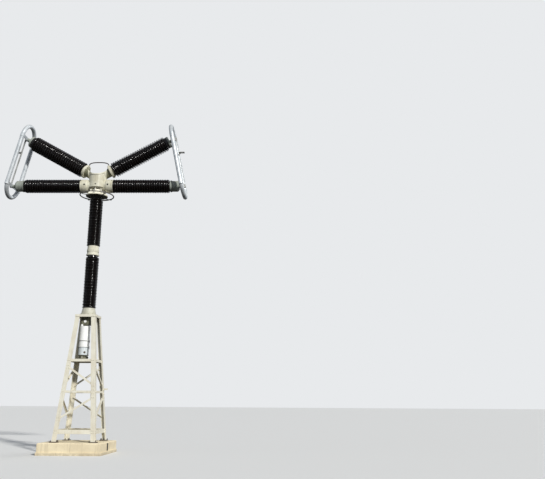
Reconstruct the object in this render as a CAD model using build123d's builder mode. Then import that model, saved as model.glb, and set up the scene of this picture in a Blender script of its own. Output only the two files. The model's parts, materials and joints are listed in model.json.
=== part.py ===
from build123d import *
import math
import os

# One pole of a live-tank circuit breaker: a steel tower on a concrete plinth, the operating mechanism
# inside its upper bay, a two-section porcelain column, and a cast hub that carries two horizontal
# interrupters and two rising resistor arms, with a corona ring round each pair of arm ends.
# Millimetres. The origin is at ground level on the column's axis, the arms run along X, +Z is up.

# Plinth: a block on a slightly wider footing, set a little to the left of the tower
plinth_width = 1940
plinth_height = 360
plinth_edge = 22
plinth_shift = -40
footing_height = 90
footing_proud = 20

# Tower: outer widths over the legs, heights above the plinth
tower_height = 3980
tower_base_width = 1350
tower_top_width = 640
leg_width = 140
leg_thickness = 14
foot_size = 220
foot_thickness = 25
top_plate_thickness = 30
top_rim_height = 50
top_rim_thickness = 8
top_rim_clearance = 4

# Side bracing: member widths, the channel's height above the plinth, and the diagonals' rises and
# drops from the channel, the tie and the platform
leg_lap_edge = 82
channel_level = 320
channel_width = 130
channel_flange = 55
channel_thickness = 9
tie_width = 66
brace_width = 60
brace_thickness = 8
brace_flange = 52
lower_brace_rise = 380
lower_brace_drop = 183
middle_brace_rise = 192
middle_brace_drop = 247
gusset_width = 150
end_gusset_height = 150
node_gusset_height = 470

# Platform at the foot of the upper bay
platform_rim = 84
platform_plate = 10
platform_clearance = 2

# Conduit bracket on the right rear leg
bracket_level = 1600
bracket_length = 150
bracket_size = 50
bracket_thickness = 6
bracket_inset = 60

# Operating mechanism
mechanism_x = -60
mechanism_y = -60
mechanism_diameter = 330
mechanism_base_height = 135
mechanism_base_diameter = 210
mechanism_base_flange = 16
valve_size = 70
valve_height = 105
valve_offset = 110
lower_cover_height = 250
lower_cover_diameter = 322
housing_height = 685
housing_chamfer = 16
seam_height = 198
seam_depth = 3
seam_width = 7
nub_diameter = 54
nub_height = 38
nub_offset = 126
coupling_diameter = 130
coupling_length = 43

# Linkage housing under the top plate
linkage_width = 340
linkage_depth = 330
linkage_height = 290
linkage_edge = 12
indicator_x = -40
indicator_drop = 185
indicator_diameter = 74
indicator_depth = 22

# Porcelain column
base_flange_diameter = 560
base_flange_thickness = 34
base_cone_bottom = 480
base_cone_top = 400
base_flange_height = 230
lower_column_length = 1780
joint_flange_height = 320
joint_disc_diameter = 396
joint_disc_thickness = 36
joint_gap = 5
joint_foot_disc_diameter = 424
joint_foot_disc_thickness = 32
collar_diameter = 372
upper_column_length = 1690
column_top_height = 65
column_top_disc = 400
column_top_disc_thickness = 36
column_core = 316
column_shed = 436
column_small_shed = 408

# Sheds, large and small in turn; the pitch is from one large shed to the next
column_shed_pitch = 95
arm_shed_pitch = 84
shed_rim = 7
shed_root = 30
shed_droop = 9
shed_end_margin = 22

# Ring round the foot of the hub
column_ring_radius = 560
column_ring_tube = 40
column_ring_rise = 35
column_ring_arm_width = 50
column_ring_arm_thickness = 8
column_ring_arm_gap = 6
column_ring_arms = 4

# Hub casting
hub_flange_diameter = 730
hub_flange_thickness = 35
hub_neck_diameter = 340
hub_rib_count = 8
hub_rib_thickness = 14
hub_rib_foot = 355
hub_rib_head = 214
hub_bowl_rise = 250
hub_bowl_diameter = 430
hub_body_rise = 290
hub_body_diameter = 590
hub_top_rise = 960
hub_axis_rise = 375
side_neck_diameter = 380
arm_neck_diameter = 310
arm_hub_disc = 470
arm_hub_disc_thickness = 26
saddle_half_width = 320
saddle_low_rise = 745
saddle_high_rise = 945
lip_height = 46
lip_proud = 16
plug_diameter = 46
plug_depth = 12

# Horizontal interrupters, from the gap between the hub's body and the drum outwards
drum_gap = 5
drum_length = 260
drum_diameter = 460
drum_round = 36
interrupter_length = 1970
interrupter_core = 336
interrupter_shed = 452
interrupter_small_shed = 426
end_cap_length = 290
end_cap_diameter = 372
end_cap_flange = 404
end_cap_flange_thickness = 40
end_cap_chamfer = 40

# Resistor arms, which rise from a point above the interrupters' axis
arm_angle = 29
arm_root_rise = 290
arm_flange_start = 500
arm_flange_thickness = 46
arm_flange_diameter = 470
arm_collar_length = 34
arm_porcelain_length = 2126
arm_core = 380
arm_shed = 500
arm_small_shed = 470
arm_end_thickness = 64
arm_end_diameter = 400

# Pipe over the hub
pipe_diameter = 36
pipe_boss_diameter = 44
pipe_boss_height = 14
pipe_rise = 122
pipe_bend = 70

# Corona rings: racetracks that lean in over the arm ends, at these gaps from them
ring_gap_low = 126
ring_gap_high = 175
ring_overrun_low = 390
ring_overrun_high = 464
ring_width = 980
ring_tube = 140
cross_bar_width = 110
cross_bar_thickness = 16
boss_diameter = 120

# Terminal bar outside each ring, with its drilled pad
terminal_standoff = 60
terminal_bar_width = 90
terminal_bar_thickness = 16
terminal_bar_overrun = 60
pad_drop = 470
pad_length = 210
pad_width = 125
pad_thickness = 20
pad_edge = 55
pad_hole_spacing = 60
pad_hole_diameter = 14
pad_rib_height = 110

# Heights above the plinth that follow from the mechanism that stands in the upper bay
mechanism_height = mechanism_base_height + lower_cover_height + housing_height + coupling_length
platform_level = tower_height - top_plate_thickness - linkage_height - mechanism_height
tie_level = 0.6 * platform_level
lower_brace_low = channel_level + lower_brace_rise
lower_brace_high = tie_level - lower_brace_drop
middle_brace_low = tie_level + middle_brace_rise
middle_brace_high = platform_level - middle_brace_drop

# Levels above the ground
feet_level = plinth_height
tower_top = feet_level + tower_height
lower_column_foot = tower_top + base_flange_height
joint_foot = lower_column_foot + lower_column_length
upper_column_foot = joint_foot + joint_flange_height
column_top_foot = upper_column_foot + upper_column_length
hub_foot = column_top_foot + column_top_height
hub_axis = hub_foot + hub_axis_rise
arm_root = hub_axis + arm_root_rise

tower_slope = (tower_base_width - tower_top_width) / 2 / tower_height
tower_lean = math.atan(tower_slope)

# Distances along the arms, and where their ends are bolted to the ring's two cross bars
drum_start = hub_body_diameter / 2 + drum_gap
porcelain_start = drum_start + drum_length
cap_start = porcelain_start + interrupter_length
ring_reach = cap_start + end_cap_length + ring_gap_low
arm_porcelain_start = arm_flange_start + arm_flange_thickness + arm_collar_length
arm_end_start = arm_porcelain_start + arm_porcelain_length
reach_to_ring = arm_end_start + arm_end_thickness + ring_gap_high
upper_bar_x = reach_to_ring * math.cos(math.radians(arm_angle))
upper_bar_z = arm_root_rise + reach_to_ring * math.sin(math.radians(arm_angle))
upper_bar_rise = math.hypot(ring_reach - upper_bar_x, upper_bar_z)
lean_cos = upper_bar_z / upper_bar_rise
lean_sin = (ring_reach - upper_bar_x) / upper_bar_rise

os.makedirs("parts", exist_ok=True)


def save(piece, name):
    """Labels a finished piece and writes it to its own file."""
    piece.part.label = name
    export_step(piece.part, f"parts/{name}.step")


def half_width(height):
    """Outer half width of the tower at a height above the plinth."""
    return tower_base_width / 2 - tower_slope * height


def revolve_outline(plane, points):
    """Turns a closed outline of (radius, distance) points about the plane's own Y axis."""
    with BuildSketch(plane) as outline:
        Polygon(*points, align=None)
    revolve(outline.sketch, axis=Axis(plane.origin, plane.y_dir))


def disc_outline(radius, start, end):
    """Outline of a plain disc between two distances along its axis."""
    return [(0, start), (radius, start), (radius, end), (0, end)]


def insulator_outline(length, pitch, core, shed, small_shed):
    """Half outline of a porcelain: a core with large and small drooping sheds in turn."""
    count = int((length - 2 * shed_end_margin) // pitch)
    first = (length - count * pitch) / 2
    points = [(0, 0), (core / 2, 0)]
    for i in range(count):
        for step, diameter in ((0, shed), (pitch / 2, small_shed)):
            root = first + i * pitch + step
            points.append((core / 2, root + shed_droop))
            points.append((diameter / 2, root))
            points.append((diameter / 2, root + shed_rim))
            points.append((core / 2, root + shed_root))
    points.append((core / 2, length))
    points.append((0, length))
    return points


def column_plane(level, turn=0):
    """Vertical half plane of the column, turned about its axis, its distances counted up from a level."""
    across = (math.cos(math.radians(turn)), math.sin(math.radians(turn)), 0)
    return Plane(origin=(0, 0, level), x_dir=across, z_dir=(across[1], -across[0], 0))


def arm_plane(side, start, angle, root):
    """Half plane along an arm, its distances counted outwards from start."""
    along = (side * math.cos(math.radians(angle)), 0, math.sin(math.radians(angle)))
    across = (-side * math.sin(math.radians(angle)), 0, math.cos(math.radians(angle)))
    origin = (along[0] * start, 0, root + along[2] * start)
    return Plane(origin=origin, x_dir=across, z_dir=(0, side, 0))


# Concrete plinth with chamfered upper edges
footing_width = plinth_width + 2 * footing_proud
with BuildPart() as plinth:
    with BuildSketch():
        with Locations((plinth_shift, 0)):
            Rectangle(footing_width, footing_width)
    extrude(amount=footing_height)
    with BuildSketch(Plane.XY.offset(footing_height)):
        with Locations((plinth_shift, 0)):
            Rectangle(plinth_width, plinth_width)
    extrude(amount=plinth_height - footing_height)
    chamfer(plinth.faces().sort_by(Axis.Z)[-1].edges(), length=plinth_edge)
save(plinth, "concrete_plinth")

# Four angle-section legs that lean in both ways, each welded to its foot plate
leg_foot = foot_thickness
leg_head = tower_height - top_plate_thickness
for name, side_x, side_y in (
    ("leg_front_left", -1, -1),
    ("leg_front_right", 1, -1),
    ("leg_rear_left", -1, 1),
    ("leg_rear_right", 1, 1),
):
    with BuildPart() as leg:
        for height in (leg_foot, leg_head):
            outer = half_width(height)
            web = outer - leg_thickness
            tip = outer - leg_width
            corners = [(outer, outer), (tip, outer), (tip, web), (web, web), (web, tip), (outer, tip)]
            with BuildSketch(Plane.XY.offset(feet_level + height)):
                with BuildLine():
                    Polyline(*[(side_x * x, side_y * y) for x, y in corners], close=True)
                make_face()
        loft(ruled=True)
        foot_centre = half_width(0) - leg_width / 2
        with BuildSketch(Plane.XY.offset(feet_level)):
            with Locations((side_x * foot_centre, side_y * foot_centre)):
                Rectangle(foot_size, foot_size)
        extrude(amount=foot_thickness)
    save(leg, name)


def face_plane(out_x, out_y):
    """Plane of the legs' inner flange faces on one side: X across, Y up the slope, Z outwards."""
    lean_cos = math.cos(tower_lean)
    lean_sin = math.sin(tower_lean)
    reach = tower_base_width / 2 - leg_thickness
    return Plane(
        origin=(out_x * reach, out_y * reach, feet_level),
        x_dir=(-out_y, out_x, 0),
        z_dir=(out_x * lean_cos, out_y * lean_cos, lean_sin),
    )


def slope_length(height):
    """Distance up the sloping face for a height above the plinth."""
    return height / math.cos(tower_lean)


def lap_outline():
    """Keeps a face sketch between the lap edges behind the two legs' flanges."""
    low = half_width(0) - leg_lap_edge
    high = half_width(leg_head) - leg_lap_edge
    top = slope_length(leg_head)
    Polygon((-low, 0), (low, 0), (high, top), (-high, top), align=None, mode=Mode.INTERSECT)


def strip(plane, start, end, width, shift, depth):
    """One flat strip between two (across, height) points, shifted across itself, extruded inwards."""
    x0, y0 = start[0], slope_length(start[1])
    x1, y1 = end[0], slope_length(end[1])
    length = math.hypot(x1 - x0, y1 - y0)
    turn = math.degrees(math.atan2(y1 - y0, x1 - x0))
    shift_x = -shift * math.sin(math.radians(turn))
    shift_y = shift * math.cos(math.radians(turn))
    with BuildSketch(plane) as outline:
        with Locations(((x0 + x1) / 2 + shift_x, (y0 + y1) / 2 + shift_y)):
            Rectangle(length + 2 * width, width, rotation=turn)
        lap_outline()
    extrude(outline.sketch, amount=-depth)


def angle_member(plane, start, end, width, thickness, flange):
    """An angle section: a flat strip with a flange along its upper edge."""
    strip(plane, start, end, width, 0, thickness)
    strip(plane, start, end, thickness, (width - thickness) / 2, flange)


def gusset(plane, across, height, size_x, size_y):
    """A plate in the bracing's layer where members meet a leg."""
    with BuildSketch(plane) as outline:
        with Locations((across, slope_length(height))):
            Rectangle(size_x, size_y)
        lap_outline()
    extrude(outline.sketch, amount=-brace_thickness)


# Side bracing: channel, lower diagonal, tie and middle diagonal with their gussets on each side
for name, out_x, out_y in (
    ("front_bracing", 0, -1),
    ("right_bracing", 1, 0),
    ("rear_bracing", 0, 1),
    ("left_bracing", -1, 0),
):
    side_plane = face_plane(out_x, out_y)
    with BuildPart() as bracing:
        reach = half_width(channel_level)
        channel_ends = ((-reach, channel_level), (reach, channel_level))
        edge_shift = (channel_width - channel_thickness) / 2
        strip(side_plane, *channel_ends, channel_width, 0, channel_thickness)
        strip(side_plane, *channel_ends, channel_thickness, edge_shift, channel_flange)
        strip(side_plane, *channel_ends, channel_thickness, -edge_shift, channel_flange)

        low_end = half_width(lower_brace_low) - leg_width / 2
        knee = half_width(tie_level) - leg_width / 2
        high_end = half_width(middle_brace_high) - leg_width / 2
        brace = (brace_width, brace_thickness, brace_flange)
        tie = (tie_width, brace_thickness, brace_flange)
        angle_member(side_plane, (-low_end, lower_brace_low), (knee, lower_brace_high), *brace)
        angle_member(side_plane, (-knee, tie_level), (knee, tie_level), *tie)
        angle_member(side_plane, (knee, middle_brace_low), (-high_end, middle_brace_high), *brace)

        gusset(side_plane, -low_end, lower_brace_low, gusset_width, end_gusset_height)
        gusset(side_plane, knee, tie_level, gusset_width, node_gusset_height)
        gusset(side_plane, -high_end, middle_brace_high, gusset_width, end_gusset_height)
    save(bracing, name)

# Platform: a rim bolted behind the legs' flanges on all four sides, with a plate on it
with BuildPart() as platform:
    rim_level = platform_level - platform_rim / 2
    rim_reach = half_width(rim_level)
    rim_ends = ((-rim_reach, rim_level), (rim_reach, rim_level))
    rim_shift = (platform_rim - brace_thickness) / 2
    for out_x, out_y in ((0, -1), (1, 0), (0, 1), (-1, 0)):
        side_plane = face_plane(out_x, out_y)
        strip(side_plane, *rim_ends, platform_rim, 0, brace_thickness)
        strip(side_plane, *rim_ends, brace_thickness, -rim_shift, brace_flange)
    plate_size = 2 * (half_width(platform_level) - leg_thickness - platform_clearance)
    with BuildSketch(Plane.XY.offset(feet_level + platform_level - platform_plate)):
        Rectangle(plate_size, plate_size)
    extrude(amount=platform_plate)
save(platform, "mechanism_platform")

# Top frame: the plate under the column, with a rim that drops outside the legs
rim_foot = leg_head - top_rim_height
rim_inner = half_width(rim_foot) + top_rim_clearance
rim_outer = rim_inner + top_rim_thickness
with BuildPart() as top_frame:
    with BuildSketch(Plane.XY.offset(feet_level + rim_foot)):
        Rectangle(2 * rim_outer, 2 * rim_outer)
        Rectangle(2 * rim_inner, 2 * rim_inner, mode=Mode.SUBTRACT)
    extrude(amount=top_rim_height)
    with BuildSketch(Plane.XY.offset(feet_level + leg_head)):
        Rectangle(2 * rim_outer, 2 * rim_outer)
    extrude(amount=top_plate_thickness)
save(top_frame, "tower_top_frame")

# Conduit bracket: a short angle that stands out from the right rear leg's sloping face
with BuildPart() as bracket:
    bracket_root = half_width(bracket_level + bracket_size) - leg_thickness
    bracket_y = half_width(bracket_level) - bracket_inset
    section_plane = Plane(
        origin=(bracket_root, bracket_y, feet_level + bracket_level), x_dir=(0, 1, 0), z_dir=(1, 0, 0)
    )
    with BuildSketch(section_plane):
        Rectangle(bracket_size, bracket_thickness)
        with Locations((-(bracket_size - bracket_thickness) / 2, bracket_size / 2)):
            Rectangle(bracket_thickness, bracket_size)
    extrude(amount=bracket_length + leg_thickness)
    leg_face = face_plane(1, 0).offset(leg_thickness * math.cos(tower_lean))
    split(bisect_by=leg_face, keep=Keep.TOP)
save(bracket, "conduit_bracket")

# Operating mechanism, standing on the platform
mechanism_foot = feet_level + platform_level
cover_foot = mechanism_foot + mechanism_base_height
housing_foot = cover_foot + lower_cover_height
housing_top = housing_foot + housing_height
linkage_foot = feet_level + leg_head - linkage_height


def mechanism_level(level):
    """Horizontal plane centred on the mechanism's own axis."""
    return Plane(origin=(mechanism_x, mechanism_y, level))


with BuildPart() as mechanism_base:
    with BuildSketch(mechanism_level(mechanism_foot)):
        Circle(mechanism_base_diameter / 2)
    extrude(amount=mechanism_base_height)
    with BuildSketch(mechanism_level(mechanism_foot)):
        with PolarLocations(valve_offset, 3, start_angle=-90):
            Rectangle(valve_size, valve_size)
    extrude(amount=valve_height)
    with BuildSketch(mechanism_level(cover_foot - mechanism_base_flange)):
        Circle(lower_cover_diameter / 2)
    extrude(amount=mechanism_base_flange)
save(mechanism_base, "mechanism_base")

with BuildPart() as lower_cover:
    with BuildSketch(mechanism_level(cover_foot)):
        Circle(lower_cover_diameter / 2)
    extrude(amount=lower_cover_height)
save(lower_cover, "mechanism_lower_cover")

with BuildPart() as housing:
    with BuildSketch(mechanism_level(housing_foot)):
        Circle(mechanism_diameter / 2)
    extrude(amount=housing_height)
    chamfer(housing.edges().sort_by(Axis.Z)[-1], length=housing_chamfer)
    with BuildSketch(mechanism_level(housing_foot + seam_height)):
        Circle(mechanism_diameter / 2)
        Circle(mechanism_diameter / 2 - seam_depth, mode=Mode.SUBTRACT)
    extrude(amount=seam_width, mode=Mode.SUBTRACT)
    with BuildSketch(mechanism_level(housing_top)):
        with Locations((-nub_offset, 0)):
            Circle(nub_diameter / 2)
    extrude(amount=nub_height)
save(housing, "mechanism_housing")

with BuildPart() as coupling:
    with BuildSketch(mechanism_level(housing_top)):
        Circle(coupling_diameter / 2)
    extrude(amount=linkage_foot - housing_top)
save(coupling, "drive_coupling")

# Linkage housing under the top plate, with its round indicator window on the front
with BuildPart() as linkage:
    with BuildSketch(Plane.XY.offset(linkage_foot)):
        RectangleRounded(linkage_width, linkage_depth, linkage_edge)
    extrude(amount=linkage_height)
save(linkage, "linkage_housing")

with BuildPart() as indicator:
    indicator_level = feet_level + leg_head - indicator_drop
    indicator_plane = Plane(
        origin=(indicator_x, -linkage_depth / 2, indicator_level), x_dir=(1, 0, 0), z_dir=(0, -1, 0)
    )
    with BuildSketch(indicator_plane):
        Circle(indicator_diameter / 2)
    extrude(amount=indicator_depth)
save(indicator, "position_indicator")

# Column base flange: a foot disc and a cone that narrows to the porcelain
with BuildPart() as base_flange:
    revolve_outline(
        column_plane(tower_top),
        [
            (0, 0),
            (base_flange_diameter / 2, 0),
            (base_flange_diameter / 2, base_flange_thickness),
            (base_cone_bottom / 2, base_flange_thickness),
            (base_cone_top / 2, base_flange_height),
            (0, base_flange_height),
        ],
    )
save(base_flange, "column_base_flange")

# The two porcelain sections of the column
for name, foot, length in (
    ("lower_support_insulator", lower_column_foot, lower_column_length),
    ("upper_support_insulator", upper_column_foot, upper_column_length),
):
    with BuildPart() as column_section:
        outline = insulator_outline(length, column_shed_pitch, column_core, column_shed, column_small_shed)
        revolve_outline(column_plane(foot), outline)
    save(column_section, name)

# Joint flange: two collars with bolted discs that meet at mid height, on a wider disc at the foot
with BuildPart() as joint_flange:
    middle = joint_flange_height / 2
    disc_foot = middle - joint_gap / 2 - joint_disc_thickness
    revolve_outline(column_plane(joint_foot), disc_outline(collar_diameter / 2, 0, joint_flange_height))
    revolve_outline(
        column_plane(joint_foot), disc_outline(joint_foot_disc_diameter / 2, 0, joint_foot_disc_thickness)
    )
    revolve_outline(
        column_plane(joint_foot),
        disc_outline(joint_disc_diameter / 2, disc_foot, disc_foot + joint_disc_thickness),
    )
    revolve_outline(
        column_plane(joint_foot),
        disc_outline(joint_disc_diameter / 2, middle + joint_gap / 2, joint_flange_height - disc_foot),
    )
save(joint_flange, "column_joint_flange")

# Top flange of the column
with BuildPart() as top_flange:
    revolve_outline(column_plane(column_top_foot), disc_outline(collar_diameter / 2, 0, column_top_height))
    revolve_outline(
        column_plane(column_top_foot),
        disc_outline(column_top_disc / 2, column_top_height - column_top_disc_thickness, column_top_height),
    )
save(top_flange, "column_top_flange")

# Ring round the foot of the hub, on arms that lie under the hub's flange
with BuildPart() as column_ring:
    ring_level = hub_foot + column_ring_rise
    ring_section = Plane(origin=(column_ring_radius, 0, ring_level), x_dir=(1, 0, 0), z_dir=(0, -1, 0))
    with BuildSketch(ring_section):
        Circle(column_ring_tube / 2)
    revolve(axis=Axis.Z)
    arm_start = column_top_disc / 2 + column_ring_arm_gap
    arm_length = column_ring_radius + column_ring_arm_thickness / 2 - arm_start
    arm_middle = arm_start + arm_length / 2
    with BuildSketch(Plane.XY.offset(hub_foot - column_ring_arm_thickness)):
        with PolarLocations(arm_middle, column_ring_arms, start_angle=45):
            Rectangle(arm_length, column_ring_arm_width)
    extrude(amount=column_ring_arm_thickness)
    with BuildSketch(Plane.XY.offset(hub_foot - column_ring_arm_thickness)):
        with PolarLocations(column_ring_radius, column_ring_arms, start_angle=45):
            Rectangle(column_ring_arm_thickness, column_ring_arm_width)
    extrude(amount=column_ring_arm_thickness + column_ring_rise)
save(column_ring, "column_ring")

# Raised lip that follows the saddle's edge round the hub's body
saddle_plane = column_plane(hub_foot)
left_edge = (-saddle_half_width, saddle_high_rise)
low_point = (0, saddle_low_rise)
right_edge = (saddle_half_width, saddle_high_rise)
with BuildPart() as lip:
    with BuildSketch(Plane.XY.offset(hub_foot)):
        Circle(hub_body_diameter / 2 + lip_proud)
    extrude(amount=hub_top_rise)
    with BuildSketch(saddle_plane):
        with BuildLine():
            ThreePointArc(left_edge, low_point, right_edge)
            Line(right_edge, (saddle_half_width, saddle_high_rise - lip_height))
            ThreePointArc(
                (saddle_half_width, saddle_high_rise - lip_height),
                (0, saddle_low_rise - lip_height),
                (-saddle_half_width, saddle_high_rise - lip_height),
            )
            Line((-saddle_half_width, saddle_high_rise - lip_height), left_edge)
        make_face()
    extrude(amount=hub_body_diameter, both=True, mode=Mode.INTERSECT)

# Hub casting: flange, ribbed neck, bowl and body, four necks, and the saddle between the upper two
with BuildPart() as hub:
    revolve_outline(
        column_plane(hub_foot),
        [
            (0, 0),
            (hub_flange_diameter / 2, 0),
            (hub_flange_diameter / 2, hub_flange_thickness),
            (hub_neck_diameter / 2, hub_flange_thickness),
            (hub_neck_diameter / 2, hub_bowl_rise),
            (hub_bowl_diameter / 2, hub_bowl_rise),
            (hub_body_diameter / 2, hub_body_rise),
            (hub_body_diameter / 2, hub_top_rise),
            (0, hub_top_rise),
        ],
    )
    rib_points = [
        (0, hub_flange_thickness),
        (hub_rib_foot, hub_flange_thickness),
        (hub_rib_head, hub_body_rise),
        (0, hub_body_rise),
    ]
    for i in range(hub_rib_count):
        with BuildSketch(column_plane(hub_foot, 360 * i / hub_rib_count)):
            with BuildLine():
                Polyline(*rib_points, close=True)
            make_face()
        extrude(amount=hub_rib_thickness / 2, both=True)
    for side in (-1, 1):
        side_neck = disc_outline(side_neck_diameter / 2, 0, drum_start)
        revolve_outline(arm_plane(side, 0, 0, hub_axis), side_neck)
        neck_end = arm_flange_start - arm_hub_disc_thickness
        neck_plane = arm_plane(side, 0, arm_angle, arm_root)
        revolve_outline(neck_plane, disc_outline(arm_neck_diameter / 2, 0, neck_end))
        revolve_outline(neck_plane, disc_outline(arm_hub_disc / 2, neck_end, arm_flange_start))
    add(lip.part)
    left_top = (-saddle_half_width, 2 * hub_top_rise)
    right_top = (saddle_half_width, 2 * hub_top_rise)
    with BuildSketch(saddle_plane):
        with BuildLine():
            ThreePointArc(left_edge, low_point, right_edge)
            Polyline(right_edge, right_top, left_top, left_edge)
        make_face()
    extrude(amount=hub_body_diameter, both=True, mode=Mode.SUBTRACT)
    plug_plane = Plane(origin=(0, -hub_body_diameter / 2, hub_axis), x_dir=(1, 0, 0), z_dir=(0, -1, 0))
    with BuildSketch(plug_plane):
        Circle(plug_diameter / 2)
    extrude(amount=-plug_depth, mode=Mode.SUBTRACT)
save(hub, "hub_casting")

for side, word in ((-1, "left"), (1, "right")):
    # Interrupter: drum-shaped inner flange, porcelain and end cap along the horizontal axis
    with BuildPart() as drum:
        revolve_outline(
            arm_plane(side, drum_start, 0, hub_axis), disc_outline(drum_diameter / 2, 0, drum_length)
        )
        inner_edge = drum.edges().filter_by(GeomType.CIRCLE).sort_by(Axis.X)[0 if side > 0 else -1]
        fillet(inner_edge, radius=drum_round)
    save(drum, f"interrupter_inner_flange_{word}")

    with BuildPart() as porcelain:
        sizes = (interrupter_core, interrupter_shed, interrupter_small_shed)
        outline = insulator_outline(interrupter_length, arm_shed_pitch, *sizes)
        revolve_outline(arm_plane(side, porcelain_start, 0, hub_axis), outline)
    save(porcelain, f"interrupter_insulator_{word}")

    ring_plane = Plane(
        origin=(side * ring_reach, 0, hub_axis), x_dir=(0, side, 0), z_dir=(side * lean_cos, 0, lean_sin)
    )
    bar_inner_face = ring_plane.offset(-cross_bar_thickness / 2)

    with BuildPart() as end_cap:
        cap_plane = arm_plane(side, cap_start, 0, hub_axis)
        revolve_outline(
            cap_plane,
            [
                (0, 0),
                (end_cap_flange / 2, 0),
                (end_cap_flange / 2, end_cap_flange_thickness),
                (end_cap_diameter / 2, end_cap_flange_thickness),
                (end_cap_diameter / 2, end_cap_length - end_cap_chamfer),
                (end_cap_diameter / 2 - end_cap_chamfer, end_cap_length),
                (0, end_cap_length),
            ],
        )
        boss_end = ring_reach - cap_start + boss_diameter
        revolve_outline(cap_plane, disc_outline(boss_diameter / 2, end_cap_length, boss_end))
        split(bisect_by=bar_inner_face, keep=Keep.BOTTOM)
    save(end_cap, f"interrupter_end_cap_{word}")

    # Resistor arm: inner flange with the pipe's boss, porcelain and end flange along the rising axis
    with BuildPart() as arm_flange:
        flange_plane = arm_plane(side, arm_flange_start, arm_angle, arm_root)
        revolve_outline(flange_plane, disc_outline(arm_flange_diameter / 2, 0, arm_flange_thickness))
        collar_end = arm_flange_thickness + arm_collar_length
        revolve_outline(flange_plane, disc_outline(arm_core / 2, arm_flange_thickness, collar_end))
        boss_origin = flange_plane.from_local_coords(Vector(0, arm_flange_thickness / 2, 0))
        boss_plane = Plane(origin=boss_origin, x_dir=(0, 1, 0), z_dir=flange_plane.x_dir)
        with BuildSketch(boss_plane):
            Circle(pipe_boss_diameter / 2)
        extrude(amount=arm_flange_diameter / 2 + pipe_boss_height)
    save(arm_flange, f"resistor_inner_flange_{word}")

    with BuildPart() as arm_porcelain:
        outline = insulator_outline(arm_porcelain_length, arm_shed_pitch, arm_core, arm_shed, arm_small_shed)
        revolve_outline(arm_plane(side, arm_porcelain_start, arm_angle, arm_root), outline)
    save(arm_porcelain, f"resistor_insulator_{word}")

    with BuildPart() as arm_end:
        arm_end_plane = arm_plane(side, arm_end_start, arm_angle, arm_root)
        revolve_outline(arm_end_plane, disc_outline(arm_end_diameter / 2, 0, arm_end_thickness))
        boss_end = reach_to_ring - arm_end_start + boss_diameter
        revolve_outline(arm_end_plane, disc_outline(boss_diameter / 2, arm_end_thickness, boss_end))
        split(bisect_by=bar_inner_face, keep=Keep.BOTTOM)
    save(arm_end, f"resistor_end_flange_{word}")

    # Corona ring: a racetrack tube with two cross bars that the arm ends are bolted to
    with BuildPart() as ring:
        bend_radius = ring_width / 2
        low = bend_radius - ring_overrun_low
        high = upper_bar_rise + ring_overrun_high - bend_radius
        with BuildLine(ring_plane) as ring_path:
            left_side = Line((-bend_radius, low), (-bend_radius, high))
            top_bend = ThreePointArc(left_side @ 1, (0, high + bend_radius), (bend_radius, high))
            right_side = Line(top_bend @ 1, (bend_radius, low))
            ThreePointArc(right_side @ 1, (0, low - bend_radius), left_side @ 0)
        with BuildSketch(Plane(origin=ring_path.line @ 0, z_dir=ring_path.line % 0)):
            Circle(ring_tube / 2)
        sweep()
        with BuildSketch(bar_inner_face):
            for bar_rise in (0, upper_bar_rise):
                with Locations((0, bar_rise)):
                    Rectangle(ring_width, cross_bar_width)
        extrude(amount=cross_bar_thickness)
    save(ring, f"corona_ring_{word}")

    # Terminal bar: spacers on the cross bars, the bar, and a drilled pad with a rib under it
    with BuildPart() as terminal:
        bar_outer_face = ring_plane.offset(cross_bar_thickness / 2)
        with BuildSketch(bar_outer_face):
            for bar_rise in (0, upper_bar_rise):
                with Locations((0, bar_rise)):
                    Rectangle(terminal_bar_width, cross_bar_width)
        extrude(amount=terminal_standoff)
        bar_length = upper_bar_rise + 2 * terminal_bar_overrun
        bar_plane = bar_outer_face.offset(terminal_standoff)
        with BuildSketch(bar_plane):
            with Locations((0, upper_bar_rise / 2)):
                Rectangle(terminal_bar_width, bar_length)
        extrude(amount=terminal_bar_thickness)
        pad_slope = (upper_bar_z - pad_drop) / lean_cos
        pad_root = bar_plane.offset(terminal_bar_thickness / 2).from_local_coords(Vector(0, pad_slope, 0))
        pad_level = hub_axis + upper_bar_z - pad_drop
        with BuildSketch(Plane.XY.offset(pad_level - pad_thickness)):
            with Locations((pad_root.X + side * pad_length / 2, 0)):
                Rectangle(pad_length, pad_width)
        extrude(amount=pad_thickness)
        rib_origin = (pad_root.X, 0, pad_level - pad_thickness)
        with BuildSketch(Plane(origin=rib_origin, x_dir=(side, 0, 0), z_dir=(0, -side, 0))):
            with BuildLine():
                Polyline((0, 0), (pad_length / 2, 0), (0, -pad_rib_height), close=True)
            make_face()
        extrude(amount=terminal_bar_thickness / 2, both=True)
        pad_hole_x = pad_root.X + side * (pad_length - pad_edge)
        with Locations(Plane.XY.offset(pad_level)):
            with Locations((pad_hole_x, 0)):
                with GridLocations(pad_hole_spacing, pad_hole_spacing, 2, 2):
                    Hole(pad_hole_diameter / 2, depth=pad_thickness)
    save(terminal, f"terminal_bar_{word}")

# Balance pipe from one resistor flange to the other, arched over the hub
with BuildPart() as pipe:
    ends = []
    for side in (-1, 1):
        flange_plane = arm_plane(side, arm_flange_start, arm_angle, arm_root)
        boss_face = arm_flange_diameter / 2 + pipe_boss_height
        foot = flange_plane.from_local_coords(Vector(boss_face, arm_flange_thickness / 2, 0))
        bend = flange_plane.from_local_coords(Vector(boss_face + pipe_rise, arm_flange_thickness / 2, 0))
        ends.append((foot, bend))
    with BuildLine() as pipe_path:
        FilletPolyline(ends[0][0], ends[0][1], ends[1][1], ends[1][0], radius=pipe_bend)
    with BuildSketch(Plane(origin=pipe_path.line @ 0, z_dir=pipe_path.line % 0)):
        Circle(pipe_diameter / 2)
    sweep()
save(pipe, "balance_pipe")
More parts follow.
